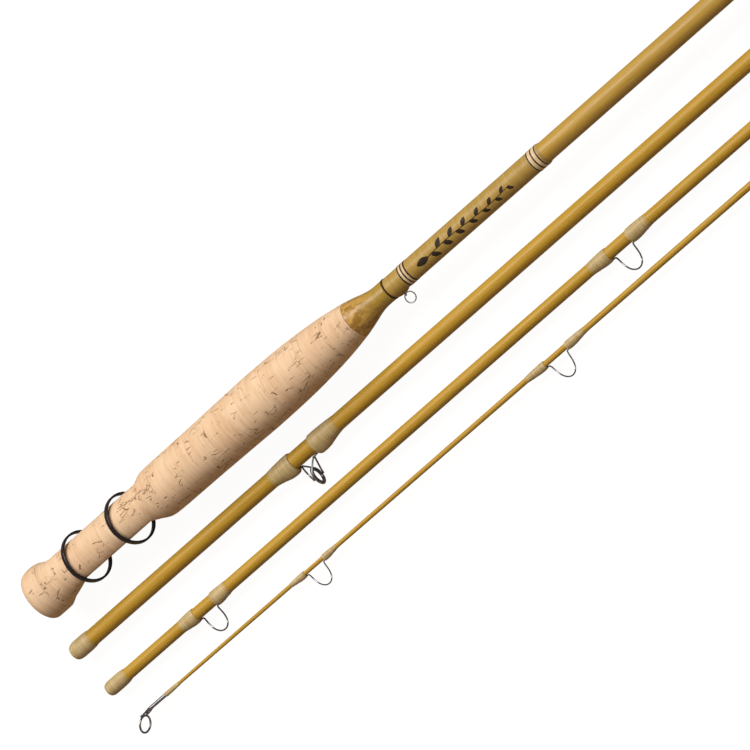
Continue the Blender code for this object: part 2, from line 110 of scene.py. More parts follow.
def surface(name, points, closed_rows, sharp=40.0):
    """A closed surface through a grid of points: columns run round, rows run along.

    With closed_rows the last row joins the first, as on a sleeve; else each end row closes on its middle.
    """
    rows, columns = points.shape[:2]
    index = np.arange(rows * columns).reshape(rows, columns)
    near = index if closed_rows else index[:-1]
    far = np.roll(index, -1, axis=0) if closed_rows else index[1:]
    quads = np.stack([near, np.roll(near, -1, axis=1), np.roll(far, -1, axis=1), far], axis=-1)
    quads = quads.reshape(-1, 4)
    verts = points.reshape(-1, 3)
    faces = quads.tolist()
    if not closed_rows:
        verts = np.vstack([verts, points[0].mean(axis=0), points[-1].mean(axis=0)])
        first, last = index[0], index[-1]
        faces += np.stack([np.roll(first, -1), first, np.full(columns, rows * columns)], axis=-1).tolist()
        faces += np.stack([last, np.roll(last, -1), np.full(columns, rows * columns + 1)], axis=-1).tolist()
    corner = verts[quads]
    first_half = np.cross(corner[:, 1], corner[:, 2])
    second_half = np.cross(corner[:, 2], corner[:, 3])
    if (corner[:, 0] * (first_half + second_half)).sum() < 0.0:
        faces = [face[::-1] for face in faces]
    mesh = bpy.data.meshes.new(name)
    mesh.from_pydata(verts.tolist(), [], faces)
    mesh.shade_smooth()
    mesh.set_sharp_from_angle(angle=math.radians(sharp))
    return link_object(name, mesh)


def finish_piece(obj, material, body, *nodes):
    """Gives a piece its material, the body it rides on and the CAD nodes that it stands for.
    """
    obj.data.materials.append(material)
    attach(obj, body)
    if nodes:
        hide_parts(*nodes)


def mark_thin(obj, values):
    """Stores, for each vertex, how thin the varnish is there: 0 full, 1 run out."""
    attribute = obj.data.attributes.new("thin", "FLOAT", "POINT")
    attribute.data.foreach_set("value", np.asarray(values, np.float32))


def smooth_line(stations, count):
    """A cubic through (x, r) stations. Its slope at each is the harmonic mean of its two sides' slopes, or
    none where they differ in sign, so it never swings past a station.
    """
    x, r = stations[:, 0], stations[:, 1]
    slope = np.diff(r) / np.diff(x)
    product = slope[:-1] * slope[1:]
    total = np.where(product > 0.0, slope[:-1] + slope[1:], 1.0)
    middle = 2.0 * np.maximum(product, 0.0) / total
    tangent = np.concatenate([slope[:1], middle, slope[-1:]])
    at = np.linspace(x[0], x[-1], count)
    cell = np.clip(np.searchsorted(x, at) - 1, 0, len(x) - 2)
    width = x[cell + 1] - x[cell]
    t = (at - x[cell]) / width
    value = ((2 * t**3 - 3 * t**2 + 1) * r[cell] + (t**3 - 2 * t**2 + t) * width * tangent[cell]
             + (3 * t**2 - 2 * t**3) * r[cell + 1] + (t**3 - t**2) * width * tangent[cell + 1])
    return np.column_stack([at, value])


def soft_corners(outline, reach, closed, steps=5):
    """Each corner becomes a parabola that starts and ends at most reach away from it on its two sides."""
    corner = np.asarray(outline, float)
    before = np.roll(corner, 1, axis=0) - corner
    after = np.roll(corner, -1, axis=0) - corner
    size_before = np.maximum(np.linalg.norm(before, axis=1, keepdims=True), 1e-12)
    size_after = np.maximum(np.linalg.norm(after, axis=1, keepdims=True), 1e-12)
    start = corner + before * np.minimum(reach / size_before, 0.45)
    end = corner + after * np.minimum(reach / size_after, 0.45)
    t = np.linspace(0.0, 1.0, steps)[None, :, None]
    curve = (1 - t)**2 * start[:, None] + 2 * t * (1 - t) * corner[:, None] + t**2 * end[:, None]
    if not closed:
        curve[0], curve[-1] = corner[0], corner[-1]
    return curve.reshape(-1, 2)


def turned(name, outline, place, columns, closed_rows=True, sharp=40.0):
    """Turned about X: a point is place + (x, r cos a, r sin a) for each outline point (x, r) and angle a."""
    x, r = np.asarray(outline, float).T
    points = round_x(x[:, None], r[:, None], round_angles(columns))
    return surface(name, points + place, closed_rows, sharp)


def sleeve_outline(outer, bore):
    """An outside outline followed back through a straight bore of that radius."""
    return np.vstack([outer, [(outer[-1, 0], bore), (outer[0, 0], bore)]])


def turned_frames(path):
    """Two directions across a path at each of its points, carried along it with the least twist."""
    along = np.gradient(path, axis=0)
    along /= np.linalg.norm(along, axis=1, keepdims=True)
    side = np.cross(along[0], (0.31, 0.52, 0.79))
    sides = []
    for direction in along:
        side = side - direction * side.dot(direction)
        side = side / np.linalg.norm(side)
        sides.append(side)
    across = np.array(sides)
    return across, np.cross(along, across)


def swept(name, path, radius, place, columns=WIRE_COLUMNS):
    """A round wire: each point of the path carries a circle of its own radius."""
    across, upright = turned_frames(path)
    angle = round_angles(columns)[None, :, None]
    reach = np.broadcast_to(radius, len(path))[:, None, None]
    ring = across[:, None] * np.cos(angle) + upright[:, None] * np.sin(angle)
    return surface(name, path[:, None] + reach * ring + place, False)


def hoop(name, major, minor, normal, centre, columns=WIRE_COLUMNS, rows=96):
    """A ring of round wire: circle of radius major across the normal, carrying a circle of radius minor."""
    turn = np.array(Vector((0, 0, 1)).rotation_difference(Vector(normal)).to_matrix())
    around = round_angles(rows)[:, None]
    angle = round_angles(columns)[None, :]
    reach = major + minor * np.cos(angle)
    points = np.stack([reach * np.cos(around), reach * np.sin(around),
                       minor * np.sin(angle) + 0.0 * around], axis=-1)
    return surface(name, points @ turn.T + centre, True)


def rounded_path(corners, per_side):
    """A Catmull-Rom curve: cubics through the corners, with the slope at each half of the step from the
    corner before it to the one after. Both ends are carried straight on.
    """
    points = np.asarray(corners, float)
    padded = np.vstack([2 * points[0] - points[1], points, 2 * points[-1] - points[-2]])
    t = np.linspace(0.0, 1.0, per_side, endpoint=False)[None, :, None]
    a, b, c, d = (padded[i:len(padded) - 3 + i][:, None] for i in range(4))
    curve = 0.5 * (2 * b + (c - a) * t + (2 * a - 5 * b + 4 * c - d) * t**2 + (3 * b - a - 3 * c + d) * t**3)
    return np.vstack([curve.reshape(-1, 3), points[-1:]])


# ---- node helpers -------------------------------------------------------------------------------
def add_node(tree, kind, inputs=None, **settings):
    """Adds a shader node; inputs maps a socket's name or number to a value or to another socket."""
    made = tree.nodes.new("ShaderNode" + kind)
    for key, value in settings.items():
        setattr(made, key, value)
    for key, value in (inputs or {}).items():
        if isinstance(value, bpy.types.NodeSocket):
            tree.links.new(value, made.inputs[key])
        else:
            made.inputs[key].default_value = value
    return made


def maths(tree, operation, first, second=0.0):
    """One Math node's value."""
    return add_node(tree, "Math", {0: first, 1: second}, operation=operation).outputs[0]


def times(tree, first, second):
    """A product of two values."""
    return maths(tree, "MULTIPLY", first, second)


def span(tree, value, low, high, to_low=0.0, to_high=1.0):
    """Maps a value from one span to another, held at its ends and eased between them."""
    made = add_node(tree, "MapRange", {"Value": value, "From Min": low, "From Max": high, "To Min": to_low,
                                       "To Max": to_high}, interpolation_type="SMOOTHSTEP")
    return made.outputs["Result"]


def mix_colour(tree, factor, first, second):
    """One colour mix: sockets or plain colours."""
    first, second = (c if isinstance(c, bpy.types.NodeSocket) else (*c, 1.0) for c in (first, second))
    return add_node(tree, "Mix", {0: factor, 6: first, 7: second}, data_type="RGBA").outputs[2]


def scaled(tree, point, size):
    """The point times a size along each of X, Y and Z."""
    return add_node(tree, "VectorMath", {0: point, 1: size}, operation="MULTIPLY").outputs[0]


def noise(tree, point, size, detail=3.0, roughness=0.5, distortion=0.0):
    """Noise whose grain is one unit long at the point times size."""
    made = add_node(tree, "TexNoise", {"Vector": scaled(tree, point, size), "Scale": 1.0, "Detail": detail,
                                       "Roughness": roughness, "Distortion": distortion})
    return made.outputs["Fac"]


def cell_walls(tree, point, size, randomness):
    """Distance to the walls between cells that are one unit wide at the point times size."""
    made = add_node(tree, "TexVoronoi", {"Vector": scaled(tree, point, size), "Scale": 1.0,
                                         "Randomness": randomness}, feature="DISTANCE_TO_EDGE")
    return made.outputs["Distance"]


def new_group(name, values, results):
    """An empty node group: it takes a point and named values, and gives named results."""
    tree = bpy.data.node_groups.new(name, "ShaderNodeTree")
    tree.interface.new_socket("Point", in_out="INPUT", socket_type="NodeSocketVector")
    for way, labels in (("INPUT", values), ("OUTPUT", results)):
        for label in labels:
            tree.interface.new_socket(label, in_out=way, socket_type="NodeSocketFloat")
    return tree, tree.nodes.new("NodeGroupInput"), tree.nodes.new("NodeGroupOutput")


def make_thread_winding():
    """Turns of thread side by side along X: their ridges, a mask of the grooves, and a drift of tone."""
    tree, given, result = new_group("thread_winding", ["Pitch"], ["Ridge", "Groove", "Drift"])
    point = given.outputs["Point"]
    wander = noise(tree, point, (220.0, 90.0, 90.0), 2.0)
    x = add_node(tree, "SeparateXYZ", {0: point}).outputs[0]
    turn = maths(tree, "DIVIDE", x, given.outputs["Pitch"])
    turn = maths(tree, "ADD", turn, times(tree, wander, 0.8))
    wave = maths(tree, "SINE", times(tree, turn, 2.0 * math.pi))
    ridge = add_node(tree, "Math", {0: wave, 1: 0.5, 2: 0.5}, operation="MULTIPLY_ADD").outputs[0]
    drift = noise(tree, point, (1500.0, 60.0, 60.0), 1.0)
    tree.links.new(ridge, result.inputs["Ridge"])
    tree.links.new(span(tree, ridge, 0.35, 0.0), result.inputs["Groove"])
    tree.links.new(drift, result.inputs["Drift"])
    return tree


def make_streaks():
    """Long soft streaks along X, as fibres lie in a laminate, and broad clouds."""
    tree, given, result = new_group("long_streaks", ["Along", "Across"], ["Streak", "Cloud"])
    point, along, across = (given.outputs[name] for name in ("Point", "Along", "Across"))
    size = add_node(tree, "CombineXYZ", {0: along, 1: across, 2: across}).outputs[0]
    tree.links.new(noise(tree, point, size, 4.0, 0.6), result.inputs["Streak"])
    tree.links.new(noise(tree, point, (28.0, 70.0, 70.0), 2.0), result.inputs["Cloud"])
    return tree


def make_fine_wear():
    """Faint rubbed patches, where the piece is rougher, and hairlines."""
    tree, given, result = new_group("fine_wear", ["Amount"], ["Roughness", "Height"])
    point = given.outputs["Point"]
    patch = noise(tree, point, (90.0, 260.0, 260.0), 3.0)
    hair = noise(tree, point, (2600.0, 500.0, 500.0), 2.0)
    rough = times(tree, span(tree, patch, 0.45, 0.75), given.outputs["Amount"])
    tree.links.new(rough, result.inputs["Roughness"])
    tree.links.new(hair, result.inputs["Height"])
    return tree


GROUPS = {"thread": make_thread_winding(), "streaks": make_streaks(), "wear": make_fine_wear()}


def use_group(tree, name, inputs):
    """Places one of the shared groups in a material and returns its outputs."""
    return add_node(tree, "Group", inputs, node_tree=GROUPS[name]).outputs


def start_material(name, **plain):
    """A material whose Principled shader has these plain values; returns it, its tree, its shader and the
    point in the object's own coordinates, which are the frame's.
    """
    material = bpy.data.materials.new(name)
    material.use_nodes = True
    tree = material.node_tree
    shader = tree.nodes["Principled BSDF"]
    for key, value in plain.items():
        shader.inputs[key.replace("_", " ")].default_value = value
    return material, tree, shader, add_node(tree, "TexCoord").outputs["Object"]


def set_bump(tree, shader, height, depth):
    """Feeds a height through a Bump node into the shader's normal; depth is in metres."""
    bump = add_node(tree, "Bump", {"Height": height, "Distance": depth})
    tree.links.new(bump.outputs["Normal"], shader.inputs["Normal"])


# ---- finishes: colours are linear red, green and blue -------------------------------------------
CORK_LIGHT, CORK_DARK = (0.87, 0.62, 0.40), (0.67, 0.42, 0.225)
CORK_PALE, CORK_RED = (0.90, 0.69, 0.47), (0.66, 0.38, 0.22)
SEAM_BROWN, DASH_BROWN, PIT_BROWN = (0.33, 0.165, 0.08), (0.21, 0.10, 0.045), (0.25, 0.125, 0.06)
BLANK_THROUGH = (0.50, 0.33, 0.08)


def make_cork(first_seam):
    """Sanded cork rings: each its own tone, with fine growth lines, brown dashes and chips along the walls
    of long cells, pits, and a fine dark seam between rings.
    """
    material, tree, shader, point = start_material("cork", Roughness=0.75, Specular_IOR_Level=0.12)
    x = add_node(tree, "SeparateXYZ", {0: point}).outputs[0]
    ring = maths(tree, "DIVIDE", maths(tree, "SUBTRACT", x, first_seam), CORK_RING)
    number = maths(tree, "FLOOR", ring)
    tone = add_node(tree, "TexWhiteNoise", {"W": number}, noise_dimensions="1D").outputs["Value"]
    shift = add_node(tree, "CombineXYZ", {0: times(tree, number, 0.37),
                                          1: times(tree, tone, 0.5), 2: tone}).outputs[0]
    inside = add_node(tree, "VectorMath", {0: point, 1: shift}, operation="ADD").outputs[0]

    growth = noise(tree, inside, (700.0, 55.0, 55.0), 3.0, 0.6, 0.4)
    cloud = noise(tree, inside, (60.0, 90.0, 90.0), 3.0)
    colour = mix_colour(tree, span(tree, growth, 0.3, 0.78, 0.1, 0.85), CORK_LIGHT, CORK_DARK)
    colour = mix_colour(tree, span(tree, cloud, 0.35, 0.75, 0.0, 0.45), colour, CORK_PALE)
    colour = mix_colour(tree, times(tree, tone, 0.22), colour, CORK_RED)

    cells = cell_walls(tree, inside, (85.0, 260.0, 260.0), 0.85)
    sparse = noise(tree, inside, (150.0, 230.0, 230.0), 2.0)
    broken = noise(tree, inside, (900.0, 900.0, 900.0), 2.0)
    dash = times(tree, span(tree, cells, 0.05, 0.012), span(tree, sparse, 0.54, 0.62))
    dash = times(tree, dash, span(tree, broken, 0.38, 0.5))
    small_cells = cell_walls(tree, inside, (210.0, 520.0, 520.0), 0.9)
    cluster = noise(tree, inside, (52.0, 85.0, 85.0), 3.0, 0.6)
    chip = times(tree, span(tree, small_cells, 0.09, 0.02), span(tree, cluster, 0.59, 0.66))
    chip = times(tree, chip, span(tree, broken, 0.34, 0.5, 0.0, 0.85))
    dash = maths(tree, "MAXIMUM", dash, chip)
    grain = noise(tree, inside, (1300.0, 700.0, 700.0), 2.0)
    gather = noise(tree, inside, (75.0, 110.0, 110.0), 2.0)
    pit = times(tree, span(tree, grain, 0.66, 0.73), span(tree, gather, 0.50, 0.62))
    along = maths(tree, "ABSOLUTE", maths(tree, "SUBTRACT", maths(tree, "FRACT", ring), 0.5))
    glue = noise(tree, point, (40.0, 120.0, 120.0), 2.0)
    seam = times(tree, span(tree, along, 0.48, 0.497), span(tree, glue, 0.5, 0.68, 0.06, 0.8))
    colour = mix_colour(tree, times(tree, seam, 0.55), colour, SEAM_BROWN)
    colour = mix_colour(tree, times(tree, dash, 0.85), colour, DASH_BROWN)
    colour = mix_colour(tree, times(tree, pit, 0.7), colour, PIT_BROWN)
    tree.links.new(colour, shader.inputs["Base Color"])

    hollow = maths(tree, "ADD", maths(tree, "ADD", dash, pit), times(tree, seam, 0.6))
    height = maths(tree, "SUBTRACT", times(tree, growth, 0.25), hollow)
    set_bump(tree, shader, height, 0.22 * MM)
    return material


def make_lacquered_cork():
    """The varnished cone: amber and mottled at the cork, an even olive gold towards the blank."""
    material, tree, shader, point = start_material(
        "lacquered_cork", Roughness=0.4, Coat_Weight=0.25, Coat_Roughness=0.16, Specular_IOR_Level=0.3)
    x = add_node(tree, "SeparateXYZ", {0: point}).outputs[0]
    patch = noise(tree, point, (230.0, 330.0, 330.0), 3.0, 0.6, 0.8)
    far = span(tree, x, NOSE[0, 0], NOSE[-1, 0])
    colour = mix_colour(tree, span(tree, patch, 0.4, 0.6), (0.62, 0.36, 0.085), (0.33, 0.165, 0.022))
    colour = mix_colour(tree, far, colour, (0.40, 0.25, 0.035))
    specks = noise(tree, point, (900.0, 900.0, 900.0), 2.0)
    speck = times(tree, span(tree, specks, 0.66, 0.72), span(tree, patch, 0.5, 0.62))
    colour = mix_colour(tree, times(tree, speck, 0.7), colour, (0.10, 0.045, 0.012))
    tree.links.new(colour, shader.inputs["Base Color"])
    set_bump(tree, shader, patch, 0.05 * MM)
    return material


def make_thread(name, light, dark, groove_shade, roughness, depth, coat):
    """Thread wound side by side under clear varnish: each turn a ridge, some turns a little darker, and
    painted shade darkening the grooves between turns.

    Where a piece says that its varnish is thin, the gold of the blank shows through.
    """
    material, tree, shader, point = start_material(
        name, Roughness=roughness, Coat_Weight=coat, Coat_Roughness=0.28, Specular_IOR_Level=0.25)
    thread = use_group(tree, "thread", {"Point": point, "Pitch": THREAD_PITCH})
    cloud = noise(tree, point, (190.0, 300.0, 300.0), 3.0)
    colour = mix_colour(tree, span(tree, thread["Drift"], 0.35, 0.7), light, dark)
    colour = mix_colour(tree, span(tree, cloud, 0.42, 0.7, 0.0, 0.7), colour, dark)
    # painted shade: the grooves between turns are darkened towards half the dark tone
    colour = mix_colour(tree, times(tree, thread["Groove"], groove_shade), colour,
                        tuple(0.5 * channel for channel in dark))
    thin = add_node(tree, "Attribute", attribute_name="thin").outputs["Fac"]
    colour = mix_colour(tree, times(tree, thin, 0.85), colour, BLANK_THROUGH)
    tree.links.new(colour, shader.inputs["Base Color"])
    set_bump(tree, shader, thread["Ridge"], depth)
    return material


def make_blank_finish(name, light, dark, coat, specular):
    """Honey-coloured glass laminate under clear varnish: fine streaks along it and soft clouds."""
    material, tree, shader, point = start_material(
        name, Coat_Weight=coat, Coat_Roughness=0.3, Specular_IOR_Level=specular)
    streaks = use_group(tree, "streaks", {"Point": point, "Along": 40.0, "Across": 1500.0})
    wear = use_group(tree, "wear", {"Point": point, "Amount": 0.14})
    colour = mix_colour(tree, span(tree, streaks["Streak"], 0.3, 0.72), light, dark)
    colour = mix_colour(tree, span(tree, streaks["Cloud"], 0.4, 0.75, 0.0, 0.4), colour, dark)
    tree.links.new(colour, shader.inputs["Base Color"])
    tree.links.new(maths(tree, "ADD", wear["Roughness"], 0.4), shader.inputs["Roughness"])
    set_bump(tree, shader, streaks["Streak"], 0.003 * MM)
    return material


def make_hard_finish(name, colour, roughness, wear, metallic=0.0, coat=0.0):
    """A smooth hard finish, metal or not, with faint rubbed patches and hairlines."""
    material, tree, shader, point = start_material(
        name, Metallic=metallic, Coat_Weight=coat, Coat_Roughness=0.1)
    worn = use_group(tree, "wear", {"Point": point, "Amount": wear})
    tint = mix_colour(tree, span(tree, worn["Height"], 0.35, 0.7), colour, tuple(0.75 * c for c in colour))
    tree.links.new(tint, shader.inputs["Base Color"])
    tree.links.new(maths(tree, "ADD", worn["Roughness"], roughness), shader.inputs["Roughness"])
    set_bump(tree, shader, worn["Height"], 0.008 * MM)
    return material


def make_ink():
    """Brown-black ink, a little uneven."""
    material, tree, shader, point = start_material("ink", Roughness=0.6, Specular_IOR_Level=0.2)
    blot = noise(tree, point, (800.0, 800.0, 800.0), 3.0)
    colour = mix_colour(tree, span(tree, blot, 0.35, 0.7), (0.022, 0.014, 0.010), (0.05, 0.032, 0.016))
    tree.links.new(colour, shader.inputs["Base Color"])
    return material


# ---- places taken from the frame ----------------------------------------------------------------
def axis_of(node):
    """Start of a turned CAD node along X, and the Y and Z of its axis; also its end and its radius."""
    low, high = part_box(node)
    place = np.array([low.x, 0.5 * (low.y + high.y), 0.5 * (low.z + high.z)])
    return place, high.x, 0.5 * (high.y - low.y)


def middle_of(node):
    """The middle of a CAD node's box, and the box's size."""
    low, high = (np.array(corner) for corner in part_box(node))
    return 0.5 * (low + high), high - low


BUTT_BLANK, BUTT_END, BUTT_RADIUS = axis_of("butt_blank")
SECOND, _, SECOND_RADIUS = axis_of("second_socket")
_, SECOND_END, _ = axis_of("second_blank")
THIRD, THIRD_END, THIRD_RADIUS = axis_of("third_blank")
TIP = axis_of("tip_blank")[0] - np.array([TIP_BLANK_START, 0.0, 0.0])
SECTION_LENGTH = SECOND_END - SECOND[0]
BUTT = np.zeros(3)
_, CORK_END, _ = axis_of("cork_ring_%02d" % CORK_COUNT)
FIRST_SEAM = CORK_END + 0.5 * SEAM - CORK_COUNT * CORK_RING

CORK = make_cork(FIRST_SEAM)
LACQUERED = make_lacquered_cork()
GOLD_THREAD = make_thread("gold_thread", (0.50, 0.32, 0.08), (0.41, 0.255, 0.05), groove_shade=0.12,
                          roughness=0.45, depth=0.005 * MM, coat=0.15)
CREAM_THREAD = make_thread("cream_thread", (0.66, 0.50, 0.25), (0.52, 0.38, 0.16), groove_shade=0.35,
                           roughness=0.45, depth=0.02 * MM, coat=0.15)
TRIM_THREAD = make_thread("trim_thread", (0.84, 0.64, 0.38), (0.70, 0.48, 0.24), groove_shade=0.35,
                          roughness=0.45, depth=0.02 * MM, coat=0.25)
DARK_THREAD = make_thread("dark_thread", (0.04, 0.024, 0.016), (0.025, 0.015, 0.01), groove_shade=0.5,
                          roughness=0.5, depth=0.02 * MM, coat=0.05)
BUTT_GLASS = make_blank_finish("butt_glass", (0.56, 0.345, 0.065), (0.44, 0.26, 0.035), coat=0.14,
                               specular=0.3)
GOLD_GLASS = make_blank_finish("gold_glass", (0.59, 0.35, 0.045), (0.47, 0.265, 0.022), coat=0.09,
                               specular=0.22)
SPIGOT_GLASS = make_hard_finish("spigot_glass", (0.36, 0.21, 0.05), roughness=0.42, wear=0.15)
BLACK_METAL = make_hard_finish("black_metal", (0.010, 0.006, 0.010), roughness=0.24, wear=0.1)
GUIDE_WIRE = make_hard_finish("guide_wire", (0.30, 0.30, 0.31), roughness=0.16, wear=0.12, metallic=1.0)
GUIDE_INSERT = make_hard_finish("guide_insert", (0.05, 0.05, 0.055), roughness=0.1, wear=0.08, coat=0.6)
INK = make_ink()


# ---- butt section -------------------------------------------------------------------------------
def flat_height(x):
    """Distance of the milled flat from the axis: it ramps up to the knob and to the grip, and ends there."""
    step = 0.05 * MM
    stations = np.array([11.0 * MM, 22.3 * MM, 72.9 * MM, SHOULDER - step, SHOULDER + step])
    return np.interp(x, stations, [12.6 * MM, SEAT_FLAT, SEAT_FLAT, 11.7 * MM, 30.0 * MM])


def cork_surface(name, start, end, line, bore, solid_start):
    """One cork ring. Its radius is the handle's line, held back softly to the flat on the guide side: the
    flat's own radius is its height / cos(angle from its middle), and the two meet by
    r = R - k log(1 + exp((R - flat) / k)). A ring with a solid start keeps its bore to its last millimetre.
    """
    rows = 40
    edge = 0.03 * MM
    beside = SHOULDER + np.array([-0.1, 0.0, 0.1]) * MM
    x = np.linspace(start + edge, end - edge, rows)
    x = np.unique(np.concatenate([x, beside[(start < beside) & (beside < end)]]))
    around = round_angles(ROUND_COLUMNS)
    radius = np.interp(x, line[:, 0], line[:, 1])[:, None]
    flat = flat_height(x)[:, None] / np.maximum(-np.cos(around), 0.05)
    held = radius - FLAT_EDGE * np.logaddexp(0.0, (radius - flat) / FLAT_EDGE)
    reach = np.vstack([held[:1] - edge, held, held[-1:] - edge, np.full((2, ROUND_COLUMNS), bore)])
    inner_end = end - 1.0 * MM if solid_start else start
    along = np.concatenate([[start], x, [end, end, inner_end]])[:, None]
    return surface(name, round_x(along, reach, around), not solid_start)


def make_handle():
    """Seventeen cork rings on one turned line; the first is the solid end of the knob."""
    line = smooth_line(HANDLE, 2000)
    for number in range(1, CORK_COUNT + 1):
        node = "cork_ring_%02d" % number
        first = number == 1
        low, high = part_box(node)
        start = low.x if first else low.x - CLOSE_UP
        ring = cork_surface(node + "_turned", start, high.x + CLOSE_UP, line, BUTT_RADIUS + BORE_FIT, first)
        finish_piece(ring, CORK, "butt_section", node)


def make_nose():
    """The varnished cone: a thin wall on the cork's line as it runs on down to the blank, round a cork
    core that keeps the CAD's shape.
    """
    line = smooth_line(NOSE, 90)
    wall = 0.45 * MM
    inner = np.column_stack([line[::-1, 0], np.maximum(line[::-1, 1] - wall, BUTT_RADIUS + BORE_FIT)])
    cone = turned("varnished_cone", np.vstack([line, inner]), BUTT, ROUND_COLUMNS)
    finish_piece(cone, LACQUERED, "butt_section", "nose_wrap")
    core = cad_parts["nose_cork"]
    core.data.materials.clear()
    core.data.materials.append(CORK)


def butt_band(name, start, end, crown, material, *nodes, lip=0.22 * MM):
    """A band wound on the butt blank: straight in the middle, and over a lip at each end an ellipse's
    quarter takes it down by 0.65 of its rise.
    """
    bore = BUTT_RADIUS + 0.04 * MM
    q = np.linspace(0.0, 0.5 * np.pi, 8)
    inset = lip * (1.0 - np.sin(q))
    height = bore + (crown - bore) * (0.35 + 0.65 * np.cos(q))
    outer = np.column_stack([np.concatenate([start + inset[::-1], end - inset]),
                             np.concatenate([height[::-1], height])])
    piece = turned(name, sleeve_outline(outer, bore), BUTT, SLIM_COLUMNS)
    finish_piece(piece, material, "butt_section", *nodes)


def make_butt_wraps():
    """Keeper wrap, long wrap and the two cream bands with their dark lines."""
    for name, start, end, crown, material, node in (
            ("nose_line", 236.85, 237.4, 5.6, DARK_THREAD, "nose_thread"),
            ("keeper_winding", 237.6, 247.2, 5.3, GOLD_THREAD, "keeper_wrap"),
            ("lower_band_winding", 247.25, 251.55, 5.42, TRIM_THREAD, "trim_band_lower"),
            ("long_winding", 251.6, 331.8, 5.36, GOLD_THREAD, "long_wrap"),
            ("upper_band_winding", 331.9, 338.3, 5.5, TRIM_THREAD, "trim_band_upper")):
        butt_band(name, start * MM, end * MM, crown * MM, material, node)
    lines = ((247.5, 5.47), (249.4, 5.47), (251.3, 5.47), (332.6, 5.55), (335.1, 5.55), (337.6, 5.55))
    half = 0.45
    for number, (middle, crown) in enumerate(lines, 1):
        butt_band("dark_line_%d" % number, (middle - half) * MM, (middle + half) * MM, crown * MM,
                  DARK_THREAD, lip=0.15 * MM)
    taper = np.array([(338.25, 5.46), (338.8, 5.3), (339.4, 5.12), (339.9, 5.03)]) * MM
    skirt = turned("varnish_skirt", sleeve_outline(taper, 5.0 * MM), BUTT, SLIM_COLUMNS)
    finish_piece(skirt, GOLD_THREAD, "butt_section")


def inked_leaf(name, centre, arc, length, width, turn, radius):
    """A flat leaf on the wrap: halves y = +-width (1 - (2 t)**2)**0.9 over t from -1/2 to 1/2, turned in
    its plane, laid round the wrap and thickened to a thin lens.
    """
    t = np.linspace(-0.5, 0.5, 17)
    side = width * (1.0 - (2.0 * t)**2)**0.9
    rim = np.vstack([np.column_stack([t * length, side]), np.column_stack([t * length, -side])[::-1][1:-1]])
    share = np.array([1.0, 0.96, 0.6, 0.25])[:, None, None]
    flat = (share * rim) @ np.array([(math.cos(turn), math.sin(turn)), (-math.sin(turn), math.cos(turn))])
    top = radius + 0.02 * MM * np.sqrt(1.0 - 0.99 * share[:, :, 0]**2)
    under = np.full(share.shape[:2], radius - 0.08 * MM)
    flat = np.concatenate([flat[::-1], flat])
    reach = np.vstack([top[::-1], under]) + 0.0 * flat[:, :, 0]
    angle = (arc + flat[:, :, 1]) / radius
    points = np.stack([centre + flat[:, :, 0], reach * np.sin(angle), reach * np.cos(angle)], axis=-1)
    finish_piece(surface(name, points, False), INK, "butt_section")


def make_ornament():
    """A plain inked sprig on the long wrap: a waving stem, leaves on both sides, a bud at its end."""
    radius = 5.36 * MM
    start, end = 264.0 * MM, 318.0 * MM
    middle = -0.6 * MM

    def stem_arc(x):
        return 0.55 * MM * np.sin((x - start) / (8.2 * MM)) + middle

    x = np.linspace(start, end, 160)
    angle = stem_arc(x) / radius
    stem = np.column_stack([x, radius * np.sin(angle), radius * np.cos(angle)])
    thin = 0.2 * MM - 0.06 * MM * (x - start) / (end - start)
    finish_piece(swept("inked_stem", stem, thin, BUTT, 8), INK, "butt_section")
    leaves = 13
    for number in range(leaves):
        share = (number + 0.5) / leaves
        root = start + share * (end - start)
        lean = math.radians(38.0 if number % 2 else -38.0)
        length = (5.6 - 2.0 * share) * MM
        inked_leaf("inked_leaf_%02d" % (number + 1), root + 0.5 * length * math.cos(lean),
                   stem_arc(root) + 0.5 * length * math.sin(lean), length, 0.24 * length, lean, radius)
    inked_leaf("inked_bud", start - 3.2 * MM, middle, 7.6 * MM, 1.7 * MM, 0.0, radius)


def make_keeper():
    """The eye bound to the guide side, its foot under a hump of varnish, and the loose ring in it."""
    centre, _ = middle_of("keeper_eye")
    eye = hoop("keeper_eye_wire", 0.95 * MM, 0.22 * MM, (1, 0, 0), centre, 16, 48)
    finish_piece(eye, GUIDE_WIRE, "butt_section", "keeper_eye")
    t = np.linspace(-1.0, 1.0, 40)
    path = np.stack([centre[0] + 3.6 * MM * t, -5.25 * MM - 0.12 * MM * np.cos(1.57 * t), 0.0 * t], axis=-1)
    mound = swept("keeper_mound", path, 0.75 * MM * np.sqrt(1.0 - 0.98 * t**2), BUTT)
    finish_piece(mound, GOLD_THREAD, "butt_section")
    centre, size = middle_of("hook_keeper_ring")
    wire = 0.28 * MM
    ring = hoop("hook_keeper_hoop", 0.5 * size[0] - wire, wire, (0, 0, 1), centre)
    finish_piece(ring, GUIDE_WIRE, "hook_keeper", "hook_keeper_ring")


def make_reel_bands():
    """Two flat black bands with rounded edges, leaning as their CAD nodes lean."""
    bore = 11.82 * MM
    outer = bore + 1.05 * MM
    half = 1.2 * MM
    outline = soft_corners([(-half, bore), (-half, outer), (half, outer), (half, bore)], 0.36 * MM, True)
    turn = Matrix.Rotation(BAND_LEAN, 4, "Y")
    for side in ("rear", "front"):
        node = side + "_reel_band"
        centre, _ = middle_of(node)
        piece = turned(node + "_rolled", outline, BUTT, ROUND_COLUMNS)
        piece.data.transform(Matrix.Translation((centre[0], 0.0, 0.0)) @ turn)
        finish_piece(piece, BLACK_METAL, side + "_band", node)


# ---- blanks, ferrules, spigots ------------------------------------------------------------------
def socket_line(radius):
    """Outside of a section whose socket's mouth is rounded in under its collar."""
    return [(0.0, 0.8 * radius), (0.35 * radius, radius - 0.05 * MM), (0.6 * radius, radius),
            (SECTION_LENGTH, radius)]


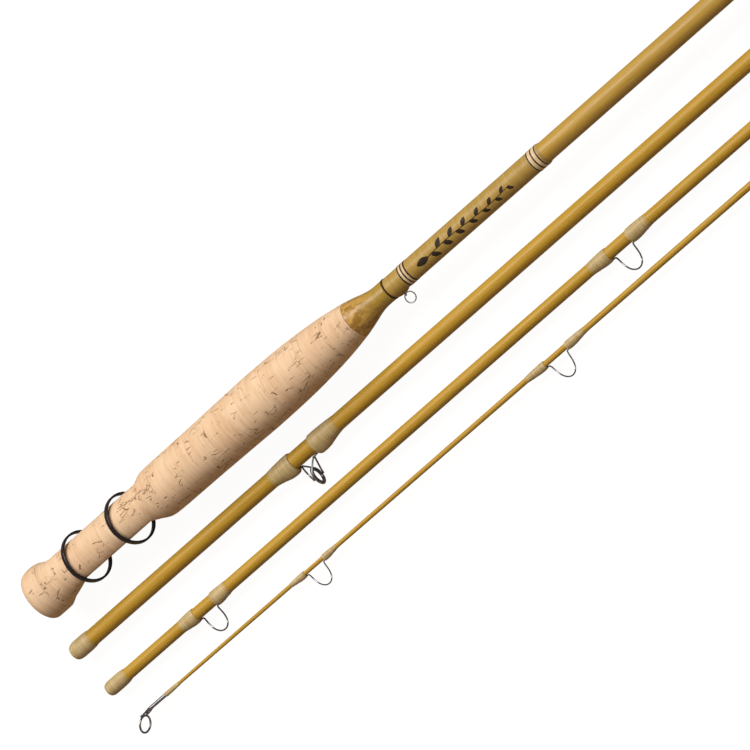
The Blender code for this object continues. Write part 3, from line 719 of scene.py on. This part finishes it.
def make_blank(name, outer, inner, place, material, body, *nodes):
    """A glass tube: taper outside, bore inside, both rims softened."""
    outline = np.vstack([outer, inner[::-1]])
    piece = turned(name, soft_corners(outline, 0.16 * MM, True), place, SLIM_COLUMNS)
    finish_piece(piece, material, body, *nodes)


def make_ferrule(name, start, end, blank, crown, dome, place, body, node, tip_first):
    """A wound collar: rounded over the socket's mouth, with a long fall to the blank at the other end.

    The mouth is a quarter of an ellipse, as deep along and as far in as dome says, in shares of the crown;
    the fall is crown - (crown - blank) s**3, s running from 0 to 1.
    """
    length = end - start
    quarter = np.linspace(0.0, 0.5 * np.pi, 12)
    depth, inset = dome[0] * crown, dome[1] * crown
    mouth = np.column_stack([depth * (1.0 - np.sin(quarter)), crown - inset * (1.0 - np.cos(quarter))])[::-1]
    s = np.linspace(0.0, 1.0, 24)
    fall = np.column_stack([length * (0.55 + 0.45 * s), crown - (crown - blank - 0.06 * MM) * s**3])
    outside = np.vstack([mouth, fall])
    bore = blank - UNDER_THREAD
    inside = np.array([(length, bore), (depth, bore), (0.1 * MM, crown - inset - 0.12 * MM)])
    outline = np.vstack([outside, inside])
    x = length - outline[:, 0] if tip_first else outline[:, 0]
    piece = turned(name, np.column_stack([start + x, outline[:, 1]]), place, SLIM_COLUMNS)
    thin = np.concatenate([np.zeros(len(mouth)), np.clip((s - 0.7) / 0.3, 0.0, 1.0), np.zeros(len(inside))])
    mark_thin(piece, np.repeat(thin, SLIM_COLUMNS))
    finish_piece(piece, CREAM_THREAD, body, node)


def make_spigot(node, blank_end, ground, body):
    """A solid spigot: glued part, small step, and a ground stretch with a rounded nose."""
    place, end, glued = axis_of(node)
    step = blank_end - place[0]
    length = end - place[0]
    outline = [(0.0, 0.0), (0.0, glued - 0.1 * MM), (step - 0.2 * MM, glued), (step + 0.2 * MM, ground),
               (length - 0.6 * MM, ground - 0.1 * MM), (length, ground - 0.55 * MM), (length, 0.0)]
    steps = 5
    rounded = soft_corners(outline, 0.3 * MM, False, steps)[steps:-steps]
    piece = turned(node + "_ground", rounded, place, SLIM_COLUMNS, False)
    finish_piece(piece, SPIGOT_GLASS, body, node)


# ---- line guides --------------------------------------------------------------------------------
def foot_winding(name, outer_end, inner_end, blank, up, down, spread, place, body, node):
    """Thread wound over a guide foot. Round the blank it stands up + (down - up) exp(-(a / spread)**2)
    high, a being the angle from the guide side; along it the height follows one line: a long rise from
    the outer end, fullest near the leg, then a short round fall. "thin" marks where the varnish runs out.
    """
    profile = smooth_line(np.array([(0.0, 0.03), (0.08, 0.22), (0.25, 0.52), (0.5, 0.8), (0.8, 1.0),
                                    (0.93, 0.93), (0.985, 0.66), (1.0, 0.3)]), 80)
    s, swell = profile[:, :1], profile[:, 1:]
    around = round_angles(SLIM_COLUMNS)[None, :]
    from_guide = np.arccos(np.clip(-np.cos(around), -1.0, 1.0))
    hump = np.exp(-(from_guide / spread)**2) * np.clip((s - 0.06) / 0.5, 0.0, 1.0)
    radius = blank + 0.03 * MM + swell * (up + (down - up) * hump)
    outside = round_x(outer_end + (inner_end - outer_end) * s, radius, around)
    inside = round_x(np.array([(inner_end,), (outer_end,)]), blank - UNDER_THREAD, around)
    piece = surface(name, np.concatenate([outside, inside]) + place, True)
    thin = np.concatenate([np.clip(1.0 - s[:, 0] / 0.22, 0.0, 1.0), [0.0, 1.0]])
    mark_thin(piece, np.repeat(thin, SLIM_COLUMNS))
    finish_piece(piece, CREAM_THREAD, body, node)


def snake_line(rear, front, foot, seat, half_height, half_width, wire):
    """Foot, one turn of a flattened spiral, foot. Over the turn, with angle q from 0 to 2 pi: x runs
    evenly, y = -(seat + wire) - h (1 - cos q), z = 1.3 w sin q sin(q / 2). The feet thin outwards, and
    the turn runs into them through a moving mean.
    """
    q = np.linspace(0.0, 2.0 * np.pi, 180)
    turn = np.column_stack([rear + (front - rear) * q / (2.0 * np.pi),
                            -(seat + wire) - half_height * (1.0 - np.cos(q)),
                            1.3 * half_width * np.sin(q) * np.sin(0.5 * q)])
    share = np.linspace(0.0, 0.93, 24)
    thin = wire * (0.5 + 0.5 * share)
    rear_foot = np.column_stack([rear - foot * (1.0 - share), -(seat + thin), 0.0 * share])
    front_foot = np.column_stack([front + foot * (1.0 - share), -(seat + thin), 0.0 * share])[::-1]
    path = np.vstack([rear_foot, turn, front_foot])
    radius = np.concatenate([thin, np.full(len(turn), wire), thin[::-1]])
    weights = np.array([1.0, 2.0, 3.0, 4.0, 3.0, 2.0, 1.0]) / 16.0
    padded = np.pad(path, ((3, 3), (0, 0)), mode="edge")
    rounded = sum(weight * padded[k:len(path) + k] for k, weight in enumerate(weights))
    rounded[:6], rounded[-6:] = path[:6], path[-6:]
    return rounded, radius


def make_snake_guide(node, rear, front, wraps, blank, size, heights, place, body):
    """A snake guide of bent wire and the two wraps over its feet."""
    half_height, half_width, wire = size
    foot = 0.8 * (rear - wraps[0])
    path, radius = snake_line(rear, front, foot, blank + 0.05 * MM, half_height, half_width, wire)
    guide = swept(node + "_wire", path, radius, place)
    finish_piece(guide, GUIDE_WIRE, body, node)
    up, down = heights
    for end, outer_end, inner_end in (("rear", wraps[0], wraps[1]), ("front", wraps[3], wraps[2])):
        wrap = "%s_%s_wrap" % (node, end)
        foot_winding(wrap + "_winding", outer_end, inner_end, blank, up, down, 0.75, place, body, wrap)


def make_stripping_guide():
    """Ring, hard insert and two folded wire braces, whose feet are ground thin and wound onto the blank."""
    centre, size = middle_of("stripping_frame_ring")
    ring_wire = 0.5 * size[0]
    reach = 0.5 * size[1] - ring_wire
    frame_ring = hoop("stripping_hoop", reach, ring_wire, (1, 0, 0), centre)
    second = "second_section"
    finish_piece(frame_ring, GUIDE_WIRE, second, "stripping_frame_ring")
    thick = 0.4 * MM
    middle = reach - ring_wire + 0.02 * MM - thick
    t = round_angles(40)
    lens = np.column_stack([0.9 * MM * np.cos(t), middle + thick * np.sin(t)])
    insert = turned("stripping_insert", lens[::-1], centre, SLIM_COLUMNS, True, 80.0)
    finish_piece(insert, GUIDE_INSERT, second, "stripping_ring_insert")

    wire = 0.42 * MM
    drop = SECOND[1] - centre[1]
    ring_x = centre[0] - SECOND[0]
    ring_half = reach + ring_wire + wire
    foot_half = 0.55 * MM
    seat = -(SECOND_RADIUS + 0.05 * MM + wire)
    ground = np.array([0.7, 0.32, 0.28])
    for end, foot_end, bend, wrap, side in (("rear", 137.45, 149.95, (134.95, 149.05), -1.0),
                                            ("front", 175.25, 159.35, (178.65, 162.05), 1.0)):
        bend, foot_end = bend * MM, foot_end * MM
        lean = ring_x + 1.1 * wire * side - bend
        half = np.array([(bend + lean, -drop - 0.9 * MM, ring_half),
                         (bend + 0.97 * lean, -drop + 0.8 * MM, ring_half),
                         (bend + 0.85 * lean, -drop + 2.8 * MM, 0.95 * ring_half),
                         (bend + 0.55 * lean, -drop + 5.3 * MM, 0.6 * ring_half),
                         (bend + 0.25 * lean, seat - 0.5 * MM, 2.0 * foot_half), (bend, seat, foot_half),
                         (0.5 * (bend + foot_end), seat, foot_half), (foot_end, seat, foot_half)])
        fold = np.array([(foot_end + side * foot_half, seat, 0.0)])
        half[-2:, 1] += wire * (1.0 - ground[:2])
        fold[0, 1] += wire * (1.0 - ground[2])
        steps = 10
        path = rounded_path(np.vstack([half, fold, half[::-1] * (1, 1, -1)]), steps)
        share = np.concatenate([np.ones(len(half) - 2), ground, ground[1::-1], np.ones(len(half) - 2)])
        radius = wire * np.interp(np.arange(len(path)) / steps, np.arange(len(share)), share)
        brace = swept("stripping_%s_wire" % end, path, radius, SECOND)
        finish_piece(brace, GUIDE_WIRE, second, "stripping_%s_brace" % end)
        foot_winding("stripping_%s_winding" % end, wrap[0] * MM, wrap[1] * MM, SECOND_RADIUS, 0.7 * MM,
                     2.2 * MM, 0.62, SECOND, second, "stripping_%s_wrap" % end)


def make_tip_top():
    """Tube drawn down to a beak past the blank's thin end, wire loop, solder, and the wrap behind it."""
    outside = smooth_line(np.array([(-4.6, 0.34), (-3.4, 0.4), (-2.2, 0.43), (-1.1, 0.53), (0.0, 0.68),
                                    (1.2, 0.84), (2.6, 0.93), (14.4, 0.93)]) * MM, 120)
    beak = np.array([(-4.72, 0.0), (-4.7, 0.14), (-4.66, 0.25)]) * MM
    inside = np.array([(14.4, 0.74), (1.6, 0.74), (1.6, 0.0)]) * MM
    tube = turned("tip_top_sleeve", np.vstack([beak, outside, inside]), TIP, SLIM_COLUMNS, False)
    finish_piece(tube, GUIDE_WIRE, "tip_section", "tip_top_tube")
    reach = 3.95 * MM
    out = Vector((-0.643, -0.722, 0.253))
    normal = out.cross(Vector((-0.058, 0.375, 0.925)))
    centre, _ = middle_of("tip_top_loop")
    loop = hoop("tip_top_hoop", reach, 0.5 * MM, normal, centre)
    finish_piece(loop, GUIDE_WIRE, "tip_section", "tip_top_loop")
    start = centre - np.array(out) * (reach - 0.2 * MM)
    end = TIP + np.array([3.4 * MM, -0.5 * MM, 0.0])
    t = np.linspace(-1.0, 1.0, 30)
    path = 0.5 * (start + end) + 0.5 * np.outer(t, end - start)
    solder = swept("tip_top_solder", path, 0.6 * MM * np.sqrt(1.0 - 0.9 * t**2), BUTT)
    finish_piece(solder, GUIDE_WIRE, "tip_section")
    line = np.array([(12.6, 1.02), (13.1, 1.15), (15.0, 1.14), (17.9, 1.08), (20.4, 1.0), (21.7, 0.92)]) * MM
    wrap = turned("tip_top_winding", sleeve_outline(smooth_line(line, 40), 0.7 * MM), TIP, SLIM_COLUMNS)
    finish_piece(wrap, CREAM_THREAD, "tip_section", "tip_top_wrap")


# ---- the four sections --------------------------------------------------------------------------
def make_butt_section():
    """Handle, cone, wraps, ornament, keeper, bands, blank and spigot."""
    make_handle()
    make_nose()
    make_butt_wraps()
    make_ornament()
    make_keeper()
    make_reel_bands()
    start, taper = BUTT_BLANK[0], 455.0 * MM
    make_blank("butt_tube", [(start, BUTT_RADIUS), (taper, BUTT_RADIUS), (BUTT_END, 4.75 * MM)],
               [(start, 4.0 * MM), (taper, 4.0 * MM), (BUTT_END, 3.75 * MM)], BUTT, BUTT_GLASS,
               "butt_section", "butt_blank")
    make_spigot("butt_spigot", BUTT_END, 2.85 * MM, "butt_section")


def make_second_section():
    """Blank, socket collar, stripping guide and spigot."""
    bore = 3.0 * MM
    make_blank("second_tube", socket_line(SECOND_RADIUS), [(0.0, bore), (SECTION_LENGTH, bore)], SECOND,
               GOLD_GLASS, "second_section", "second_socket", "second_blank")
    make_ferrule("second_collar", 0.0, 12.6 * MM, SECOND_RADIUS, 4.5 * MM, (0.85, 0.28), SECOND,
                 "second_section", "second_ferrule_wrap", False)
    make_stripping_guide()
    make_spigot("second_spigot", SECOND_END, 2.05 * MM, "second_section")


def make_third_section():
    """Blank, socket collar, two snake guides and spigot."""
    bore = 2.2 * MM
    make_blank("third_tube", socket_line(THIRD_RADIUS), [(0.0, bore), (SECTION_LENGTH, bore)], THIRD,
               GOLD_GLASS, "third_section", "third_blank")
    make_ferrule("third_collar", 0.0, 13.2 * MM, THIRD_RADIUS, 3.65 * MM, (0.85, 0.28), THIRD,
                 "third_section", "third_ferrule_wrap", False)
    for node, rear, front, wraps in (("third_guide_a", 61.0, 71.1, (49.9, 59.7, 71.5, 81.7)),
                                     ("third_guide_b", 335.8, 347.8, (323.3, 334.7, 348.3, 361.2))):
        make_snake_guide(node, rear * MM, front * MM, [w * MM for w in wraps], THIRD_RADIUS,
                         (5.2 * MM, 4.2 * MM, 0.38 * MM), (0.42 * MM, 1.0 * MM), THIRD, "third_section")
    make_spigot("third_spigot", THIRD_END, 1.15 * MM, "third_section")


def make_tip_section():
    """The tip, lying the other way round: its tip-top is at the low X end."""
    blank = np.array([(1.7, 0.66), (14.4, 0.68), (14.45, 0.78), (60.0, 0.93), (190.0, 1.2), (310.0, 1.5),
                      (420.0, 1.72), (533.5, 1.9)]) * MM
    hollow = np.array([(1.7, 0.3), (60.0, 0.4), (190.0, 0.6), (310.0, 0.85), (420.0, 1.1), (490.0, 1.3),
                       (533.5, 1.3)]) * MM
    make_blank("tip_tube", blank, hollow, TIP, GOLD_GLASS, "tip_section", "tip_blank")
    end = blank[-1, 0]
    make_ferrule("tip_collar", end - 14.0 * MM, end, blank[-1, 1], 2.35 * MM, (0.4, 0.24), TIP,
                 "tip_section", "tip_ferrule_wrap", True)
    make_tip_top()
    for node, rear, front, wraps, size, heights in (
            ("tip_guide_a", 107.9, 118.8, (98.1, 107.3, 119.3, 128.8), (4.6, 3.45, 0.32), (0.34, 0.85)),
            ("tip_guide_b", 268.0, 280.5, (255.4, 267.4, 281.2, 293.7), (5.0, 3.6, 0.34), (0.4, 0.95))):
        under = float(np.interp(wraps[3] * MM, blank[:, 0], blank[:, 1]))
        make_snake_guide(node, rear * MM, front * MM, [w * MM for w in wraps], under, [s * MM for s in size],
                         [h * MM for h in heights], TIP, "tip_section")


# ---- studio -------------------------------------------------------------------------------------
def add_area_light(name, place, target, size, power, colour=(1.0, 1.0, 1.0)):
    """A rectangular soft light at a place, turned to a target."""
    light = bpy.data.lights.new(name, "AREA")
    light.shape = "RECTANGLE"
    light.size, light.size_y = size
    light.energy = power
    light.color = colour
    obj = link_object(name, light)
    obj.location = place
    obj.rotation_euler = (Vector(target) - Vector(place)).to_track_quat("-Z", "Y").to_euler()


def make_floor():
    """A pale floor just under the rod: seen almost white, and throwing little light back up at it."""
    mesh = bpy.data.meshes.new("floor")
    half = 6.0
    height = CAD_BOX[0][2] - 0.3 * MM
    corners = [(-half, -half, height), (half, -half, height), (half, half, height), (-half, half, height)]
    mesh.from_pydata(corners, [], [(0, 1, 2, 3)])
    floor = link_object("floor", mesh)
    material, tree, shader, _ = start_material(
        "floor_white", Roughness=0.95, Specular_IOR_Level=0.0, Base_Color=(0.12, 0.1, 0.08, 1.0),
        Emission_Color=(1.0, 1.0, 1.0, 1.0))
    path = add_node(tree, "LightPath").outputs
    seen = times(tree, path["Is Camera Ray"], 0.96)
    mirrored = times(tree, path["Is Glossy Ray"], 0.15)
    tree.links.new(maths(tree, "ADD", seen, mirrored), shader.inputs["Emission Strength"])
    mesh.materials.append(material)


def make_studio():
    """Surroundings seen white, grey in reflections, and lighting weakly and warmly; a long soft key on the
    +Y side, a warm fill and a low rim light.
    """
    make_floor()
    world = bpy.data.worlds.new("studio")
    bpy.context.scene.world = world
    world.use_nodes = True
    tree = world.node_tree
    background = tree.nodes["Background"]
    path = add_node(tree, "LightPath").outputs
    mirrored = times(tree, path["Is Glossy Ray"], 0.3)
    shown = maths(tree, "MAXIMUM", path["Is Camera Ray"], mirrored)
    tint = mix_colour(tree, shown, (1.0, 0.68, 0.45), (1.0, 1.0, 1.0))
    tree.links.new(maths(tree, "MAXIMUM", shown, 0.1), background.inputs["Strength"])
    tree.links.new(tint, background.inputs["Color"])
    aim = (0.2, -0.02, 0.0)
    add_area_light("key", (0.1, 1.0, 1.0), aim, (1.8, 0.8), 27.5)
    add_area_light("fill", (0.7, -0.3, 1.6), aim, (0.9, 0.9), 2.0, (1.0, 0.8, 0.6))
    add_area_light("rim", (0.2, -1.5, 0.3), aim, (2.2, 0.12), 1.6)
    bpy.context.scene.view_settings.view_transform = "Standard"


def make_camera():
    """A long lens, tilted 26 degrees from straight down towards +X, the rod running up to the right."""
    tilt = math.radians(26.0)
    across, rise = 0.7513, 0.66
    distance = 5.9
    frame_width = 0.3375
    target = Vector((0.2031, -0.0247, 0.0))
    back = Vector((math.sin(tilt), 0.0, math.cos(tilt)))
    right = Vector((across * math.cos(tilt), -rise, -across * math.sin(tilt)))
    up = Vector((rise * math.cos(tilt), across, -rise * math.sin(tilt)))
    data = bpy.data.cameras.new("camera")
    data.sensor_width = 36.0
    data.lens = data.sensor_width * distance / frame_width
    data.clip_start = 0.1
    data.clip_end = 50.0
    camera = link_object("camera", data)
    turn = Matrix((right, up, back)).transposed().to_4x4()
    camera.matrix_world = Matrix.Translation(target + back * distance) @ turn
    bpy.context.scene.camera = camera


make_butt_section()
make_second_section()
make_third_section()
make_tip_section()
make_studio()
make_camera()
